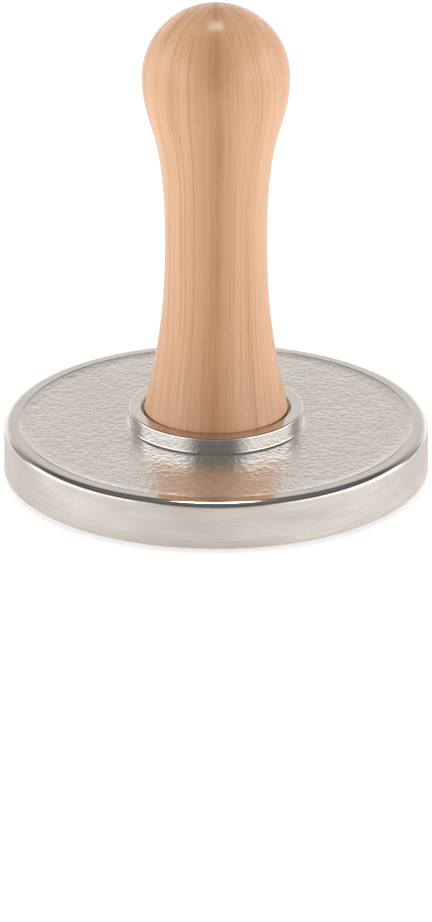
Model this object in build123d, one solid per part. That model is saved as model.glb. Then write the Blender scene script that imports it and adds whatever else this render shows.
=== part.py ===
from build123d import *
import math
import os

# Hand mold that stamps butter with a ten-petal flower: a plated disc with a cast moulding face under it
# and a turned wooden handle screwed into its centre. It stands on its rim, +Z up the handle, with the
# origin at the centre of the rim's resting face. Sizes in millimetres.

# ---------------------------------------------------------------- driving dimensions
# plate shell
DISC_RADIUS = 38.0  # at the foot of the wall
DISC_THICKNESS = 8.7
WALL_DRAFT = 0.15  # how far the wall leans in at its top
RIM_TOP_ROUND = 1.15
RIM_FOOT_ROUND = 0.5
BORDER_INNER_RADIUS = 35.2  # smooth border band round the grained top
GRAIN_DROP = 0.2  # the grained top lies this far below the border band
COLLAR_RADIUS = 15.6
COLLAR_HEIGHT = 2.8
COLLAR_EDGE_ROUND = 0.3
COLLAR_FOOT_ROUND = 0.35
SOCKET_RADIUS = 13.25
SOCKET_EDGE_CHAMFER = 0.2

# flower die
DIE_RADIUS = 35.5
DIE_FIT_GAP = 0.05  # radial room between the die and its recess
DIE_THICKNESS = 5.35
FACE_SETBACK = 0.15  # the moulding face lies this far above the resting face
SEAM_CHAMFER = 0.25
BOSS_RADIUS = 5.0
BOSS_SHORTFALL = 0.1  # the boss stops this far below the socket floor, so the washer clamps the shell

# flower
PETALS = 10
RIDGE_WIDTH = 0.9  # flat between two neighbouring pockets, at the face
POCKET_DEPTH = 3.3
MOUTH_CENTRE = 26.25  # centre of the round end of a pocket's mouth, from the axis
FLOOR_CENTRE = 24.3  # and of its floor
SIDE_WALL_RUN = 1.65  # how far a side wall slopes inwards from mouth to floor
FLOOR_FILLET = 0.7
MOUTH_ROUND = 0.35
MOAT_RADIUS = 6.1  # ring round the centre button
MOAT_DEPTH = 1.7
BUTTON_FOOT_RADIUS = 5.6
BUTTON_TOP_RADIUS = 3.7
BUTTON_EDGE_ROUND = 0.5
DISH_RADIUS = 2.9
DISH_DEPTH = 0.3

# stud, an M6 hanger bolt
THREAD_RADIUS = 3.0
THREAD_PITCH = 1.0
THREAD_FIT_GAP = 0.05  # radial room between the thread's crests and the tapped hole
THREAD_DEPTH = 0.58
GROOVE_HALF_MOUTH = 0.45  # of the thread groove, just outside the crests
GROOVE_HALF_ROOT = 0.08  # and at its root
GROOVE_OVERSHOOT = 0.1  # how far the groove's section reaches outside the crests
TAPPED_HOLE_BOTTOM = 2.0
STUD_END_GAP = 0.5  # between the stud's end and the bottom of its hole
STUD_END_CHAMFER = 0.5
STUD_LENGTH = 38.0
STUD_POINT_LENGTH = 4.0
STUD_POINT_RADIUS = 0.6
THREADED_LENGTH = 10.5

# washer, the large M6 size
WASHER_RADIUS = 9.0
WASHER_HOLE_RADIUS = 3.2
WASHER_THICKNESS = 1.6
WASHER_EDGE_CHAMFER = 0.2

# handle
FOOT_RADIUS = 12.85
FOOT_CHAMFER = 0.4
LOWER_FLARE = (10.2, 25.0)  # radius and height of a point on the flare above the foot
WAIST = (9.05, 42.5)
UPPER_FLARE = (10.9, 62.8)
HEAD_RADIUS = 13.0
HEAD_CENTRE_HEIGHT = 73.5
FLARE_DIRECTION = (-0.23, 1)  # of the outline where it leaves the foot
HEAD_DIRECTION = (0, 1)  # and where it meets the round head

CIRCLE_TOLERANCE = 0.01  # for picking circular edges by radius and height

# ---------------------------------------------------------------- derived heights and radii
COLLAR_TOP = DISC_THICKNESS + COLLAR_HEIGHT
SOCKET_FLOOR = DISC_THICKNESS
GRAIN_TOP = DISC_THICKNESS - GRAIN_DROP
WALL_TOP_RADIUS = DISC_RADIUS - WALL_DRAFT
DIE_TOP = FACE_SETBACK + DIE_THICKNESS
RECESS_RADIUS = DIE_RADIUS + DIE_FIT_GAP
BOSS_TOP = SOCKET_FLOOR - BOSS_SHORTFALL
TAPPED_HOLE_RADIUS = THREAD_RADIUS + THREAD_FIT_GAP
POCKET_FLOOR = FACE_SETBACK + POCKET_DEPTH
STUD_BOTTOM = TAPPED_HOLE_BOTTOM + STUD_END_GAP
STUD_TOP = STUD_BOTTOM + STUD_LENGTH
FOOT_HEIGHT = SOCKET_FLOOR + WASHER_THICKNESS
HALF_PETAL = math.radians(180 / PETALS)


def turned(points):
    """Solid turned about the Z axis from a closed outline of (radius, height) corners."""
    return revolve(make_face(Plane.XZ * Polyline(*points, close=True)), Axis.Z)


def circles_at(solid, radius, height):
    """The solid's circular edges of a given radius at a given height."""
    circles = solid.edges().filter_by(GeomType.CIRCLE)
    return [
        edge
        for edge in circles
        if math.isclose(edge.radius, radius, abs_tol=CIRCLE_TOLERANCE)
        and math.isclose(edge.center(CenterOf.BOUNDING_BOX).Z, height, abs_tol=CIRCLE_TOLERANCE)
    ]


def plate_shell():
    """Plated casting: disc, collar with the handle's socket, recess for the die, hole for its boss."""
    boss_hole_radius = BOSS_RADIUS + DIE_FIT_GAP
    shell = turned(
        [
            (boss_hole_radius, DIE_TOP),
            (RECESS_RADIUS, DIE_TOP),
            (RECESS_RADIUS, 0),
            (DISC_RADIUS, 0),
            (WALL_TOP_RADIUS, DISC_THICKNESS),
            (BORDER_INNER_RADIUS, DISC_THICKNESS),
            (BORDER_INNER_RADIUS, GRAIN_TOP),
            (COLLAR_RADIUS, GRAIN_TOP),
            (COLLAR_RADIUS, COLLAR_TOP),
            (SOCKET_RADIUS, COLLAR_TOP),
            (SOCKET_RADIUS, SOCKET_FLOOR),
            (boss_hole_radius, SOCKET_FLOOR),
        ]
    )
    shell = fillet(circles_at(shell, WALL_TOP_RADIUS, DISC_THICKNESS), RIM_TOP_ROUND)
    shell = fillet(circles_at(shell, DISC_RADIUS, 0), RIM_FOOT_ROUND)
    shell = fillet(circles_at(shell, COLLAR_RADIUS, COLLAR_TOP), COLLAR_EDGE_ROUND)
    shell = fillet(circles_at(shell, COLLAR_RADIUS, GRAIN_TOP), COLLAR_FOOT_ROUND)
    shell = chamfer(circles_at(shell, SOCKET_RADIUS, COLLAR_TOP), SOCKET_EDGE_CHAMFER)
    return chamfer(circles_at(shell, RECESS_RADIUS, 0), SEAM_CHAMFER)


def teardrop(centre, inset):
    """Teardrop along +X: sides parallel to the ridges' centre lines at a given inset, and a round end."""
    radius = centre * math.sin(HALF_PETAL) - inset
    tip = (inset / math.sin(HALF_PETAL), 0)
    side_end = (centre - radius * math.sin(HALF_PETAL), radius * math.cos(HALF_PETAL))
    other_side_end = (side_end[0], -side_end[1])
    outline = Line(tip, side_end)
    outline += ThreePointArc(side_end, (centre + radius, 0), other_side_end)
    outline += Line(other_side_end, tip)
    return make_face(outline)


def pocket():
    """The space of one petal: it narrows from its mouth to a flat teardrop floor with a rounded edge."""
    mouth = Pos(0, 0, FACE_SETBACK) * teardrop(MOUTH_CENTRE, RIDGE_WIDTH / 2)
    floor = Pos(0, 0, POCKET_FLOOR) * teardrop(FLOOR_CENTRE, RIDGE_WIDTH / 2 + SIDE_WALL_RUN)
    space = loft([mouth, floor], ruled=True)
    floor_edges = space.edges().group_by(Axis.Z)[-1]
    space = fillet(floor_edges, FLOOR_FILLET)
    return space + extrude(mouth, -FACE_SETBACK)


def mouth_edges(die):
    """The straight sides and round ends of the pockets' mouths, where they cut the moulding face."""
    sides = die.edges().filter_by(GeomType.LINE)
    in_face = sides.filter_by_position(Axis.Z, FACE_SETBACK, FACE_SETBACK)
    mouth_radius = MOUTH_CENTRE * math.sin(HALF_PETAL) - RIDGE_WIDTH / 2
    return in_face + circles_at(die, mouth_radius, FACE_SETBACK)


def button():
    """Truncated cone in the middle of the flower, with a rounded edge."""
    cone = turned(
        [
            (0, FACE_SETBACK),
            (BUTTON_TOP_RADIUS, FACE_SETBACK),
            (BUTTON_FOOT_RADIUS, FACE_SETBACK + MOAT_DEPTH),
            (BUTTON_FOOT_RADIUS, POCKET_FLOOR),
            (0, POCKET_FLOOR),
        ]
    )
    return fillet(circles_at(cone, BUTTON_TOP_RADIUS, FACE_SETBACK), BUTTON_EDGE_ROUND)


def dish():
    """Shallow spherical cap hollowed out of the button's face."""
    sphere_radius = (DISH_RADIUS**2 + DISH_DEPTH**2) / (2 * DISH_DEPTH)
    return Pos(0, 0, FACE_SETBACK + DISH_DEPTH - sphere_radius) * Sphere(sphere_radius)


def flower_die():
    """Cast insert with ten teardrop pockets round a button, and a tapped boss on its back."""
    die = turned(
        [
            (0, FACE_SETBACK),
            (DIE_RADIUS, FACE_SETBACK),
            (DIE_RADIUS, DIE_TOP),
            (BOSS_RADIUS, DIE_TOP),
            (BOSS_RADIUS, BOSS_TOP),
            (0, BOSS_TOP),
        ]
    )
    die = chamfer(circles_at(die, DIE_RADIUS, FACE_SETBACK), SEAM_CHAMFER)
    petal_pocket = pocket()
    for petal in range(PETALS):
        die -= Rot(0, 0, petal * 360 / PETALS) * petal_pocket
    bottom = (Align.CENTER, Align.CENTER, Align.MIN)
    die -= Cylinder(MOAT_RADIUS, FACE_SETBACK + MOAT_DEPTH, align=bottom)
    die = fillet(mouth_edges(die), MOUTH_ROUND)
    die += button()
    die -= dish()
    hole = Cylinder(TAPPED_HOLE_RADIUS, BOSS_TOP - TAPPED_HOLE_BOTTOM, align=bottom)
    return die - Pos(0, 0, TAPPED_HOLE_BOTTOM) * hole


def stud_blank():
    """The stud before threading: a rod with a chamfered lower end and a point at its wood end."""
    return turned(
        [
            (0, STUD_BOTTOM),
            (THREAD_RADIUS - STUD_END_CHAMFER, STUD_BOTTOM),
            (THREAD_RADIUS, STUD_BOTTOM + STUD_END_CHAMFER),
            (THREAD_RADIUS, STUD_TOP - STUD_POINT_LENGTH),
            (STUD_POINT_RADIUS, STUD_TOP),
            (0, STUD_TOP),
        ]
    )


def thread_groove():
    """Helical V groove that leaves a right-hand thread on the stud's lower end."""
    start = STUD_BOTTOM - THREAD_PITCH
    path = Pos(0, 0, start) * Helix(THREAD_PITCH, THREADED_LENGTH + THREAD_PITCH, THREAD_RADIUS)
    outer = THREAD_RADIUS + GROOVE_OVERSHOOT
    root = THREAD_RADIUS - THREAD_DEPTH
    section = Polyline(
        (outer, start - GROOVE_HALF_MOUTH),
        (root, start - GROOVE_HALF_ROOT),
        (root, start + GROOVE_HALF_ROOT),
        (outer, start + GROOVE_HALF_MOUTH),
        close=True,
    )
    return sweep(make_face(Plane.XZ * section), path, is_frenet=True)


def handle_stud():
    """Hanger bolt: machine thread below, plain shank held in the wood above."""
    return stud_blank() - thread_groove()


def foot_washer():
    """Flat washer between the handle's foot and the socket floor."""
    washer = turned(
        [
            (WASHER_HOLE_RADIUS, SOCKET_FLOOR),
            (WASHER_RADIUS, SOCKET_FLOOR),
            (WASHER_RADIUS, FOOT_HEIGHT),
            (WASHER_HOLE_RADIUS, FOOT_HEIGHT),
        ]
    )
    return chamfer(circles_at(washer, WASHER_RADIUS, FOOT_HEIGHT), WASHER_EDGE_CHAMFER)


def handle():
    """Turned handle: straight foot in the socket, flare, waist and round head, bored for the stud."""
    foot = Polyline(
        (0, FOOT_HEIGHT),
        (FOOT_RADIUS - FOOT_CHAMFER, FOOT_HEIGHT),
        (FOOT_RADIUS, FOOT_HEIGHT + FOOT_CHAMFER),
        (FOOT_RADIUS, COLLAR_TOP),
    )
    side = Spline(
        (FOOT_RADIUS, COLLAR_TOP),
        LOWER_FLARE,
        WAIST,
        UPPER_FLARE,
        (HEAD_RADIUS, HEAD_CENTRE_HEIGHT),
        tangents=[FLARE_DIRECTION, HEAD_DIRECTION],
    )
    head = RadiusArc(
        (HEAD_RADIUS, HEAD_CENTRE_HEIGHT), (0, HEAD_CENTRE_HEIGHT + HEAD_RADIUS), -HEAD_RADIUS
    )
    axis = Line((0, HEAD_CENTRE_HEIGHT + HEAD_RADIUS), (0, FOOT_HEIGHT))
    profile = make_face(Plane.XZ * (foot + side + head + axis))
    return revolve(profile, Axis.Z) - stud_blank()


def main():
    os.makedirs("parts", exist_ok=True)
    for make_node in (plate_shell, flower_die, handle_stud, foot_washer, handle):
        export_step(make_node(), f"parts/{make_node.__name__}.step")


main()
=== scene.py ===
"""Looks of the butter mold: grained plated disc, cast flower die, beech handle, steel stud and washer."""

import math

import bpy
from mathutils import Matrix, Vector, noise


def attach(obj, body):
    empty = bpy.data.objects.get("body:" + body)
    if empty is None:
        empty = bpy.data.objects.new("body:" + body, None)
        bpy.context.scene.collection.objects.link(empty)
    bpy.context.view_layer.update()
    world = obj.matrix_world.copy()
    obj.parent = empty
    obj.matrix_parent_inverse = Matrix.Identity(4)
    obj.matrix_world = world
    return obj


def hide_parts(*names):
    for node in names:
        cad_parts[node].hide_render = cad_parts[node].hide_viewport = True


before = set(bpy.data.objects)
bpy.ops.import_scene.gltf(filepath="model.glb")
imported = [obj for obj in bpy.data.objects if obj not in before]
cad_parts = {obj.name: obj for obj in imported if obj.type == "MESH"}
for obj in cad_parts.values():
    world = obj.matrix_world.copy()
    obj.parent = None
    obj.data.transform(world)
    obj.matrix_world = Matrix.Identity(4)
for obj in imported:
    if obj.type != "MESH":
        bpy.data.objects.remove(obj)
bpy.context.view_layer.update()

MM = 0.001

# plate mesh, in millimetres
SEGMENTS = 600
LONG_STRETCH = 10  # the level stretch that carries the grain is longer than this
GRAIN_STEP = 0.25
EDGE_STEP = 0.04
SUPPORTED_LENGTH = 0.5  # stretches longer than this get a step close to each end
COVE_WIDTH = 2.4  # the grained top curves up to the border over this width
SHARP_DEGREES = 32

# leather grain, in millimetres
GRAIN_HEIGHT = 0.085
GRAIN_SEED = 1  # of the noise that bends the pebbles; 0 would take the clock
GRAIN_FADE = 1.0  # width over which the grain fades out at each edge of the top
PEBBLES_PER_MM = 0.66
PEBBLE_WARP = 0.45
CREASE_WIDTH = 0.32  # in pebbles

# plated metal
WALL_FROM = 36.0  # upright faces outside this radius, in millimetres, are brushed
GRAIN_METALLIC = 0.8  # the grained top is a little hazy
NICKEL_DULL = (0.69, 0.63, 0.575)
NICKEL_CLEAN = (0.75, 0.69, 0.63)
COLLAR_NICKEL = (0.90, 0.90, 0.905)
BORDER_TINT = (0.93, 0.94, 0.95)
# painted shade: faces of the plate that point down are made darker and bluer
DOWNWARD_SHADE = (0.84, 0.90, 0.96)
WALL_TINTS = (0.74, 0.74, 0.75), (0.90, 0.90, 0.90)

# cast aluminium
SKIN_DARK = (0.51, 0.505, 0.495)
SKIN_LIGHT = (0.70, 0.695, 0.68)
SPECKLE = (0.40, 0.395, 0.38)
PIT = (0.30, 0.30, 0.29)
# painted shade for the slanted pocket walls of the die, darker and lighter in blotches
POCKET_SHADE_DARK = (0.38, 0.38, 0.37)
POCKET_SHADE_LIGHT = (0.64, 0.64, 0.63)

# beech
BEECH_BANDS = (0.3, (0.64, 0.355, 0.192)), (0.5, (0.695, 0.395, 0.222)), (0.72, (0.73, 0.43, 0.255))
# painted shade: a darker band down the handle's middle, front and back, and a darker line at its centre
CENTRE_SHADE = (0.46, 0.215, 0.085)
CENTRE_LINE_SHADE = (0.36, 0.16, 0.06)
GRAIN_LINE = (0.46, 0.21, 0.085)
FIBRE = (0.45, 0.23, 0.11)
FLECK = (0.44, 0.21, 0.10)

# floor, in metres
FLOOR_RADIUS = 4.0
FLOOR_OPENING = 0.03745
FLOOR_SEGMENTS = 96
FLOOR_GAP = 0.00002
FLOOR_GLOW = 0.44

# Light by direction. A direction has a height, its z from -1 to 1, and a back share: how far its level part
# points to the back, from -1 in front to 1 behind. Pairs give where an edge starts and ends.
BACKDROP_SIDES = (0.72, 0.86)  # back share
BACKDROP_TOP = (0.60, 0.72)
BACKDROP_HEIGHTS = (0.10, 0.66)
BACKDROP_LEVELS = (1.3, 0.35)  # at the first and at the second of these heights
BOX_FRONT = (-0.92, -0.70)  # back share
BOX_BACK = (0.36, 0.50)  # back share
BOX_FOOT = (0.0, 0.06)
BOX_TOP = (0.40, 0.52)
BOX_LEVEL = 3.9
BOX_HEIGHTS = (0.08, 0.58)
BOX_MIRRORED = (2.6, 0.5)  # what metal and varnish mirror of a side box, at these heights
GAP_TOP = (0.45, 0.60)
GAP_MIRRORED = 0.42  # between a side box and the backdrop
ZENITH_HEIGHTS = (0.70, 0.84)
ZENITH_MIRRORED = 0.2
OVERHEAD_BACK, OVERHEAD_UP = 0.22, 0.975  # towards the overhead box
OVERHEAD_EDGE = (0.987, 0.992)  # cosine of the angle to its middle
OVERHEAD_LEVEL = 17.0
LOW_TOP = (-0.02, 0.0)
LOW_HEIGHTS = (-0.75, -0.30)
LOW_LEVELS = (1.35, 0.06)  # at these heights, for the moulding face
DARK_LEVEL = 0.12
SEEN_LEVEL = 0.95

# camera: degrees, metres and millimetres of lens
CAMERA_ELEVATION = 20.5
CAMERA_DISTANCE = 0.95
CAMERA_AIM = 0.0418  # height that its axis points at
CAMERA_LENS = 210
CAMERA_SHIFT = -0.2325  # in frame heights: the mold stands in the upper half


# ------------------------------------------------------------------ node-tree helpers
class Nodes:
    """The node tree of a material or world, with short calls for the few node kinds used here."""

    def __init__(self, owner, shader="ShaderNodeBsdfPrincipled", output="ShaderNodeOutputMaterial"):
        owner.use_nodes = True
        self.tree = owner.node_tree
        self.tree.nodes.clear()
        self.shader = self.add(shader)
        self.output = self.add(output)
        self.link(self.shader.outputs[0], self.output.inputs[0])

    def add(self, kind):
        return self.tree.nodes.new(kind)

    def link(self, source, target):
        self.tree.links.new(source, target)

    def put(self, node, inputs):
        """Sets a node's inputs by name or number: a value, a (red, green, blue) or a socket to link."""
        for key, value in inputs.items():
            socket = node.inputs[key]
            if isinstance(value, bpy.types.NodeSocket):
                self.link(value, socket)
            elif socket.type == "RGBA":
                socket.default_value = (*value, 1.0)
            else:
                socket.default_value = value

    def set_shader(self, **inputs):
        """Shader inputs, with underscores for the spaces in their names."""
        self.put(self.shader, {key.replace("_", " "): value for key, value in inputs.items()})

    def coordinates(self, kind):
        return self.add("ShaderNodeTexCoord").outputs[kind]

    def position(self):
        """Place on the object, in millimetres."""
        return self.scaled(self.coordinates("Object"), (1 / MM,) * 3)

    def radius(self, position):
        """Distance from the handle's axis."""
        x, y, _ = self.parts(position)
        return self.math("SQRT", self.math("ADD", self.product(x, x), self.product(y, y)))

    def normal_z(self):
        """Upward part of the face's own normal: 1 facing up, 0 upright, -1 facing down."""
        return self.parts(self.add("ShaderNodeNewGeometry").outputs["True Normal"])[2]

    def scaled(self, vector, factors):
        node = self.add("ShaderNodeVectorMath")
        node.operation = "MULTIPLY"
        self.put(node, {0: vector, 1: factors})
        return node.outputs[0]

    def parts(self, vector):
        node = self.add("ShaderNodeSeparateXYZ")
        self.link(vector, node.inputs[0])
        return node.outputs

    def joined(self, x, y, z):
        node = self.add("ShaderNodeCombineXYZ")
        self.put(node, {0: x, 1: y, 2: z})
        return node.outputs[0]

    def math(self, operation, a, b=0.0, clamp=False):
        node = self.add("ShaderNodeMath")
        node.operation = operation
        node.use_clamp = clamp
        self.put(node, {0: a, 1: b})
        return node.outputs[0]

    def product(self, a, b):
        return self.math("MULTIPLY", a, b)

    def noise(self, place, cells, detail=2.0, roughness=0.5, distortion=0.0):
        """Noise of 0..1 with so many cells to the unit: one number, or one for each axis."""
        if isinstance(cells, tuple):
            place, cells = self.scaled(place, cells), 1.0
        node = self.add("ShaderNodeTexNoise")
        values = {"Scale": cells, "Detail": detail, "Roughness": roughness, "Distortion": distortion}
        self.put(node, {"Vector": place, **values})
        return node.outputs["Fac"]

    def voronoi(self, place, cells):
        """Distance to the nearest of scattered points, with so many cells to the unit."""
        node = self.add("ShaderNodeTexVoronoi")
        self.put(node, {"Vector": place, "Scale": cells})
        return node.outputs["Distance"]

    def ramp(self, factor, stops):
        """Colour ramp: stops are (place, colour)."""
        node = self.add("ShaderNodeValToRGB")
        elements = node.color_ramp.elements
        while len(elements) < len(stops):
            elements.new(0.5)
        for element, (place, colour) in zip(elements, stops):
            element.position = place
            element.color = (*colour, 1.0)
        self.link(factor, node.inputs[0])
        return node.outputs["Color"]

    def span(self, value, low, high, to_low=0.0, to_high=1.0):
        """Maps low..high onto to_low..to_high, clamped."""
        node = self.add("ShaderNodeMapRange")
        self.put(node, {0: value, 1: low, 2: high, 3: to_low, 4: to_high})
        return node.outputs[0]

    def fall(self, value, low, high):
        """1 up to low, 0 from high on."""
        return self.span(value, low, high, 1.0, 0.0)

    def mix(self, factor, a, b, blend="MIX"):
        """Colour a where factor is 0, and b, or a blended with b, where it is 1."""
        node = self.add("ShaderNodeMix")
        node.data_type = "RGBA"
        node.blend_type = blend
        self.put(node, {0: factor, 6: a, 7: b})
        return node.outputs[2]

    def choose(self, factor, a, b):
        """Number a where factor is 0, b where it is 1."""
        node = self.add("ShaderNodeMix")
        node.data_type = "FLOAT"
        self.put(node, {0: factor, 2: a, 3: b})
        return node.outputs[0]

    def bump(self, height, depth_mm, normal=None):
        """Bump from a height of 0..1 that stands for depth_mm."""
        node = self.add("ShaderNodeBump")
        self.put(node, {"Strength": 1.0, "Distance": depth_mm * MM, "Height": height})
        if normal is not None:
            self.link(normal, node.inputs["Normal"])
        return node.outputs[0]


def new_material(name):
    """A material, its nodes and the place on the object in millimetres."""
    material = bpy.data.materials.new(name)
    nodes = Nodes(material)
    return material, nodes, nodes.position()


# ------------------------------------------------------------------ materials
def plate_regions(nodes, place, grain):
    """Shares of 0..1 for the plate's grained top, border band, foot ring, outer wall and collar wall."""
    (inner, _), (outer, _) = grain
    radius = nodes.radius(place)
    normal_z = nodes.normal_z()
    upward = nodes.span(normal_z, 0.6, 0.9)
    upright = nodes.fall(nodes.math("ABSOLUTE", normal_z), 0.2, 0.5)

    outside_collar = nodes.span(radius, inner - 0.1, inner + 0.4)
    inside_border = nodes.fall(radius, outer - 0.3, outer)
    grained = nodes.product(upward, nodes.product(outside_collar, inside_border))
    border = nodes.product(upward, nodes.span(radius, outer - 0.1, outer))
    foot = nodes.fall(normal_z, -0.95, -0.8)
    wall = nodes.product(upright, nodes.span(radius, WALL_FROM, WALL_FROM + 0.1))
    outside_socket = nodes.span(radius, inner - 0.6, inner - 0.5)
    collar = nodes.product(upright, nodes.math("SUBTRACT", outside_socket, wall, clamp=True))
    return grained, border, foot, wall, collar


def plated_metal(grain):
    """Nickel plate: brushed wall, finely wrinkled and hazy grained top, whiter collar, painted shade on the
    faces that point down, polished elsewhere.
    """
    material, nodes, place = new_material("plated_metal")
    grained, border, foot, wall, collar = plate_regions(nodes, place, grain)
    smudges = nodes.noise(place, 0.09, detail=4.0, roughness=0.6)
    patches = nodes.noise(place, (0.07, 0.07, 0.25), detail=3.0)
    brushing = nodes.noise(place, (0.05, 0.05, 1.3), detail=4.0, roughness=0.75)
    wrinkles = nodes.noise(place, 1.4, detail=4.0, roughness=0.6, distortion=0.6)
    scratches = nodes.noise(place, (0.5, 9.0, 9.0), detail=3.0)

    colour = nodes.ramp(smudges, [(0.3, NICKEL_DULL), (0.7, NICKEL_CLEAN)])
    colour = nodes.mix(border, colour, BORDER_TINT, "MULTIPLY")
    # painted shade: darker, bluer faces where they point down
    colour = nodes.mix(foot, colour, DOWNWARD_SHADE, "MULTIPLY")
    wall_tint = nodes.mix(nodes.span(patches, 0.3, 0.7), *WALL_TINTS)
    colour = nodes.mix(wall, colour, wall_tint, "MULTIPLY")
    colour = nodes.mix(collar, colour, COLLAR_NICKEL)

    rough_plain = nodes.span(smudges, 0.3, 0.7, 0.06, 0.11)
    rough_grain = nodes.span(wrinkles, 0.3, 0.7, 0.19, 0.28)
    rough_wall = nodes.span(brushing, 0.3, 0.7, 0.42, 0.58)
    rough_collar = nodes.span(brushing, 0.3, 0.7, 0.11, 0.17)
    rough = nodes.choose(grained, rough_plain, rough_grain)
    rough = nodes.choose(wall, rough, rough_wall)
    rough = nodes.choose(collar, rough, rough_collar)

    grain_bump = nodes.bump(nodes.product(wrinkles, grained), 0.05)
    wall_bump = nodes.bump(nodes.product(brushing, wall), 0.14, grain_bump)
    fine_bump = nodes.bump(scratches, 0.0012, wall_bump)
    haze = nodes.choose(grained, 1.0, GRAIN_METALLIC)
    nodes.set_shader(Base_Color=colour, Metallic=haze, Roughness=rough, Normal=fine_bump)
    return material


def cast_aluminium():
    """Bare casting: pale grey, slightly blotched and pitted, sandy, with painted shade darkening its slanted
    walls in blotches.
    """
    material, nodes, place = new_material("cast_aluminium")
    blotches = nodes.noise(place, 0.6, detail=6.0, roughness=0.75, distortion=0.5)
    sand = nodes.noise(place, 2.6, detail=5.0, roughness=0.7)
    outside_pit = nodes.span(nodes.voronoi(place, 0.75), 0.03, 0.12)
    unpitted = nodes.math("MAXIMUM", outside_pit, nodes.span(blotches, 0.42, 0.5))

    skin = nodes.ramp(blotches, [(0.33, SKIN_DARK), (0.64, SKIN_LIGHT)])
    speckled = nodes.mix(nodes.span(sand, 0.35, 0.6, 0.68, 1.0), SPECKLE, skin)
    colour = nodes.mix(unpitted, PIT, speckled)
    # painted shade: the slanted faces, the pocket walls, are darkened
    slanted = nodes.fall(nodes.math("ABSOLUTE", nodes.normal_z()), 0.70, 0.97)
    pocket_shade = nodes.ramp(blotches, [(0.38, POCKET_SHADE_DARK), (0.60, POCKET_SHADE_LIGHT)])
    colour = nodes.mix(slanted, colour, pocket_shade, "MULTIPLY")

    rough = nodes.span(blotches, 0.25, 0.75, 0.40, 0.27)
    sandy = nodes.bump(sand, 0.035)
    pitted = nodes.bump(unpitted, 0.05, sandy)
    nodes.set_shader(Base_Color=colour, Metallic=1.0, Roughness=rough, Normal=pitted)
    return material


def beech():
    """Turned beech under a clear varnish: grain lines that follow the outline, and painted shade: a darker
    band down the middle, front and back, with a darker line at its centre.
    """
    material, nodes, place = new_material("beech")
    x, y, z = nodes.parts(place)
    girth = nodes.math("POWER", nodes.math("MAXIMUM", nodes.radius(place), 0.5), 0.75)
    drift = nodes.noise(place, (0.05, 0.05, 0.02))
    wander = nodes.product(nodes.math("SUBTRACT", drift, 0.5), 0.45)
    across = nodes.math("ADD", nodes.math("DIVIDE", x, girth), wander)

    def streaks(fineness, length, detail, roughness=0.5):
        """Noise drawn out along the handle, this fine across it and about this long in millimetres."""
        depth = nodes.product(y, 0.012 * fineness)
        drawn_out = nodes.joined(nodes.product(across, fineness), depth, nodes.product(z, 1.0 / length))
        return nodes.noise(drawn_out, 1.0, detail, roughness)

    bands = streaks(2.2, 150.0, 2.0)
    lines = streaks(14.0, 130.0, 3.0, 0.6)
    fibres = streaks(27.0, 16.0, 2.0)
    flecks = nodes.noise(place, (2.6, 2.6, 0.42), detail=1.0)
    off_centre = nodes.math("ABSOLUTE", across)
    # painted shade: darker down the middle of the handle as seen from front and back, and a darker line at
    # its centre
    centre_shade = nodes.fall(off_centre, 0.1, 0.85)
    along = nodes.noise(nodes.joined(0.0, 0.0, nodes.product(z, 0.055)), 1.0, detail=1.0)
    centre_line_shade = nodes.product(nodes.fall(off_centre, 0.02, 0.2), nodes.span(along, 0.4, 0.6, 0.15, 0.5))

    colour = nodes.ramp(bands, BEECH_BANDS)
    colour = nodes.mix(nodes.product(centre_shade, 0.48), colour, CENTRE_SHADE)
    colour = nodes.mix(centre_line_shade, colour, CENTRE_LINE_SHADE)
    colour = nodes.mix(nodes.span(lines, 0.38, 0.5, 0.40, 0.0), colour, GRAIN_LINE)
    colour = nodes.mix(nodes.span(fibres, 0.35, 0.65, 0.12, 0.0), colour, FIBRE)
    colour = nodes.mix(nodes.span(flecks, 0.66, 0.74, 0.0, 0.25), colour, FLECK)

    rough = nodes.span(lines, 0.3, 0.7, 0.54, 0.44)
    grooves = nodes.bump(lines, 0.010)
    pores = nodes.bump(fibres, 0.006, grooves)
    nodes.set_shader(
        Base_Color=colour, Roughness=rough, Normal=pores, Specular_IOR_Level=0.3,
        Coat_Weight=0.45, Coat_Roughness=0.24,
    )
    return material


def plated_steel():
    """Zinc-plated bolt steel, with fine lines round the turned surface."""
    material, nodes, place = new_material("stud_steel")
    cloud = nodes.noise(place, 0.6, detail=4.0)
    lines = nodes.noise(place, (0.6, 0.6, 12.0), detail=3.0)
    colour = nodes.ramp(cloud, [(0.3, (0.52, 0.52, 0.53)), (0.7, (0.66, 0.66, 0.65))])
    rough = nodes.span(cloud, 0.3, 0.7, 0.24, 0.38)
    nodes.set_shader(Base_Color=colour, Metallic=1.0, Roughness=rough, Normal=nodes.bump(lines, 0.004))
    return material


def washer_steel():
    """Stamped stainless washer: rolled faces with fine parallel lines and a little staining."""
    material, nodes, place = new_material("washer_steel")
    rolled = nodes.noise(place, (0.25, 8.0, 1.0), detail=4.0, roughness=0.6)
    stains = nodes.noise(place, 0.3, detail=3.0)
    colour = nodes.ramp(stains, [(0.3, (0.58, 0.57, 0.55)), (0.7, (0.69, 0.68, 0.66))])
    rough = nodes.span(rolled, 0.3, 0.7, 0.24, 0.40)
    nodes.set_shader(Base_Color=colour, Metallic=1.0, Roughness=rough, Normal=nodes.bump(rolled, 0.005))
    return material


# ------------------------------------------------------------------ mesh helpers
def turns(count):
    """The angles of a full turn in equal steps."""
    return [2 * math.pi * k / count for k in range(count)]


def band(first, second, count):
    """Faces between two rings of points, which start at these point numbers."""
    faces = []
    for k in range(count):
        after = (k + 1) % count
        faces.append((first + k, first + after, second + after, second + k))
    return faces


def new_object(name, data):
    thing = bpy.data.objects.new(name, data)
    bpy.context.scene.collection.objects.link(thing)
    return thing


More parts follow.
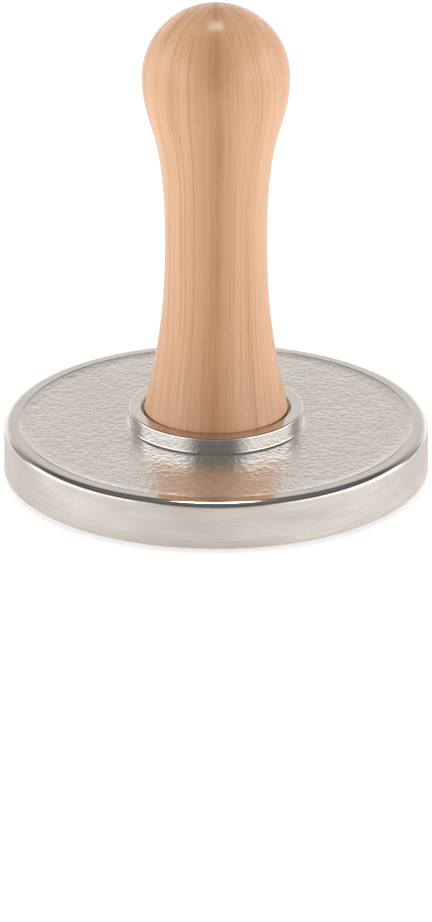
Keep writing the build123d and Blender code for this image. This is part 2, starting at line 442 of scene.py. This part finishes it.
# ------------------------------------------------------------------ grained plate
def turned_profile(node):
    """The closed outline, as (radius, height) points in order, of a CAD node that is round about Z."""
    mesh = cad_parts[node].data
    keys = [
        (round(math.hypot(v.co.x, v.co.y) / MM, 3), round(v.co.z / MM, 3)) for v in mesh.vertices
    ]
    neighbours = {key: set() for key in keys}
    for edge in mesh.edges:
        a, b = (keys[i] for i in edge.vertices)
        neighbours[a].add(b)
        neighbours[b].add(a)
    outline = [max(neighbours)]
    while ahead := neighbours[outline[-1]] - set(outline):
        outline.append(min(ahead, key=lambda key: (math.dist(key, outline[-1]), key)))
    return outline


def top_stretch(outline):
    """The two ends, inner first, of the outline's highest long level stretch."""
    stretches = [
        sorted((a, b)) for a, b in zip(outline, outline[1:] + outline[:1])
        if a[1] == b[1] and abs(a[0] - b[0]) > LONG_STRETCH
    ]
    return max(stretches, key=lambda ends: ends[0][1])


def filled_outline(outline, grain):
    """The outline with fine steps over the grain, and a step close to each end of the long stretches."""
    filled = []
    for a, b in zip(outline, outline[1:] + outline[:1]):
        length = math.dist(a, b)
        if sorted((a, b)) == grain:
            count = math.ceil(length / GRAIN_STEP)
            shares = [i / count for i in range(count)]
        elif length > SUPPORTED_LENGTH:
            shares = [0, EDGE_STEP / length, 1 - EDGE_STEP / length]
        else:
            shares = [0]
        filled += [(a[0] + (b[0] - a[0]) * s, a[1] + (b[1] - a[1]) * s) for s in shares]
    return filled


def leather(x, y):
    """Height of the leather grain, about -0.5 to 0.5: irregular pebbles parted by creases."""
    place = Vector((x, y, 0.0))
    bent = place * PEBBLES_PER_MM + noise.noise_vector(place * PEBBLE_WARP) * PEBBLE_WARP
    nearest, second = noise.voronoi(bent)[0][:2]
    pebble = min(1.0, (second - nearest) / CREASE_WIDTH)
    slow, fine = noise.noise(place * 0.35), noise.noise(place * 1.9)
    return (1 - (1 - pebble) ** 2) * 0.7 - 0.5 + 0.25 * slow + 0.16 * fine


def grained_plate(outline, grain):
    """The plated shell turned from its CAD outline, with the leather grain raised on its top."""
    (inner, top), (outer, _) = grain
    border = max(height for radius, height in outline if radius == outer)
    rings = filled_outline(outline, grain)
    angles = turns(SEGMENTS)
    points = []
    for radius, height in rings:
        fade = cove = 0.0
        if height == top:
            fade = max(0.0, min(1.0, min(radius - inner, outer - radius) / GRAIN_FADE))
            if radius < outer:
                cove = max(0.0, 1 - (outer - radius) / COVE_WIDTH)
        height += (border - top) * cove**2
        for angle in angles:
            x, y = radius * math.cos(angle), radius * math.sin(angle)
            lift = fade * GRAIN_HEIGHT * leather(x, y) if fade else 0.0
            points.append((x * MM, y * MM, (height + lift) * MM))
    faces = []
    for i in range(len(rings)):
        faces += band(i * SEGMENTS, (i + 1) % len(rings) * SEGMENTS, SEGMENTS)
    mesh = bpy.data.meshes.new("plate_shell_grained")
    mesh.from_pydata(points, [], faces)
    area = sum(a[0] * b[1] - b[0] * a[1] for a, b in zip(rings, rings[1:] + rings[:1]))
    if area < 0:
        mesh.flip_normals()
    mesh.shade_smooth()
    mesh.set_sharp_from_angle(angle=math.radians(SHARP_DEGREES))
    return new_object("plate_shell_grained", mesh)


noise.seed_set(GRAIN_SEED)
plate_outline = turned_profile("plate_shell")
plate_grain = top_stretch(plate_outline)
plate = grained_plate(plate_outline, plate_grain)
plate.data.materials.append(plated_metal(plate_grain))
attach(plate, "plate")
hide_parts("plate_shell")

for node, material in (
    ("flower_die", cast_aluminium()),
    ("handle", beech()),
    ("handle_stud", plated_steel()),
    ("foot_washer", washer_steel()),
):
    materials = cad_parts[node].data.materials
    for i in range(len(materials)):
        materials[i] = material


# ------------------------------------------------------------------ floor, light and camera
def floor():
    """White table top, open under the mold and clear from below, so that the moulding face can be seen."""
    points = [
        (radius * math.cos(angle), radius * math.sin(angle), -FLOOR_GAP)
        for radius in (FLOOR_RADIUS, FLOOR_OPENING) for angle in turns(FLOOR_SEGMENTS)
    ]
    mesh = bpy.data.meshes.new("floor")
    mesh.from_pydata(points, [], band(0, FLOOR_SEGMENTS, FLOOR_SEGMENTS))
    material = bpy.data.materials.new("floor")
    nodes = Nodes(material)
    nodes.set_shader(
        Base_Color=(0.80, 0.80, 0.80), Roughness=0.9, Specular_IOR_Level=0.1,
        Emission_Color=(1, 1, 1), Emission_Strength=FLOOR_GLOW,
    )
    from_below = nodes.add("ShaderNodeNewGeometry").outputs["Backfacing"]
    clear = nodes.add("ShaderNodeBsdfTransparent").outputs[0]
    one_sided = nodes.add("ShaderNodeMixShader")
    nodes.put(one_sided, {0: from_below, 1: nodes.shader.outputs[0], 2: clear})
    nodes.link(one_sided.outputs[0], nodes.output.inputs[0])
    mesh.materials.append(material)
    new_object("floor", mesh)


def studio():
    """Soft light by direction: backdrop, side boxes, a small box overhead and a low one, dark elsewhere.

    Metal and varnish mirror the side boxes, the gaps beside them and the zenith at levels of their own.
    """
    world = bpy.data.worlds.new("studio")
    nodes = Nodes(world, "ShaderNodeBackground", "ShaderNodeOutputWorld")
    _, y, z = nodes.parts(nodes.coordinates("Generated"))
    level_length = nodes.math("SQRT", nodes.math("SUBTRACT", 1.0001, nodes.product(z, z)))  # never 0
    back = nodes.math("DIVIDE", y, level_length)
    path = nodes.add("ShaderNodeLightPath").outputs
    seen, mirrored = path["Is Camera Ray"], path["Is Glossy Ray"]

    backdrop = nodes.product(nodes.span(back, *BACKDROP_SIDES), nodes.fall(z, *BACKDROP_TOP))
    box_width = nodes.product(nodes.span(back, *BOX_FRONT), nodes.fall(back, *BOX_BACK))
    box_height = nodes.product(nodes.span(z, *BOX_FOOT), nodes.fall(z, *BOX_TOP))
    side_box = nodes.product(box_width, box_height)
    gap = nodes.product(nodes.span(back, *BOX_FRONT), nodes.fall(z, *GAP_TOP))
    towards_overhead = nodes.math("ADD", nodes.product(y, OVERHEAD_BACK), nodes.product(z, OVERHEAD_UP))
    overhead = nodes.span(towards_overhead, *OVERHEAD_EDGE)
    below = nodes.fall(z, *LOW_TOP)

    backdrop_level = nodes.span(z, *BACKDROP_HEIGHTS, *BACKDROP_LEVELS)
    box_mirrored = nodes.span(z, *BOX_HEIGHTS, *BOX_MIRRORED)
    zenith_mirrored = nodes.span(z, *ZENITH_HEIGHTS, DARK_LEVEL, ZENITH_MIRRORED)
    dark_mirrored = nodes.choose(gap, zenith_mirrored, GAP_MIRRORED)
    low_level = nodes.span(z, *LOW_HEIGHTS, *LOW_LEVELS)

    level = nodes.choose(mirrored, DARK_LEVEL, dark_mirrored)
    level = nodes.choose(backdrop, level, backdrop_level)
    level = nodes.choose(side_box, level, nodes.choose(mirrored, BOX_LEVEL, box_mirrored))
    level = nodes.choose(overhead, level, OVERHEAD_LEVEL)
    level = nodes.choose(below, level, low_level)
    level = nodes.choose(seen, level, SEEN_LEVEL)
    nodes.set_shader(Color=(1, 1, 1), Strength=level)
    bpy.context.scene.world = world


def camera():
    """From the front, a little above, through a long lens."""
    data = bpy.data.cameras.new("camera")
    data.lens = CAMERA_LENS
    data.shift_y = CAMERA_SHIFT
    view = new_object("camera", data)
    elevation = math.radians(CAMERA_ELEVATION)
    towards = Vector((0, -math.cos(elevation), math.sin(elevation)))
    view.location = Vector((0, 0, CAMERA_AIM)) + CAMERA_DISTANCE * towards
    view.rotation_euler = (math.pi / 2 - elevation, 0, 0)
    bpy.context.scene.camera = view


floor()
studio()
camera()
bpy.context.scene.view_settings.view_transform = "Standard"
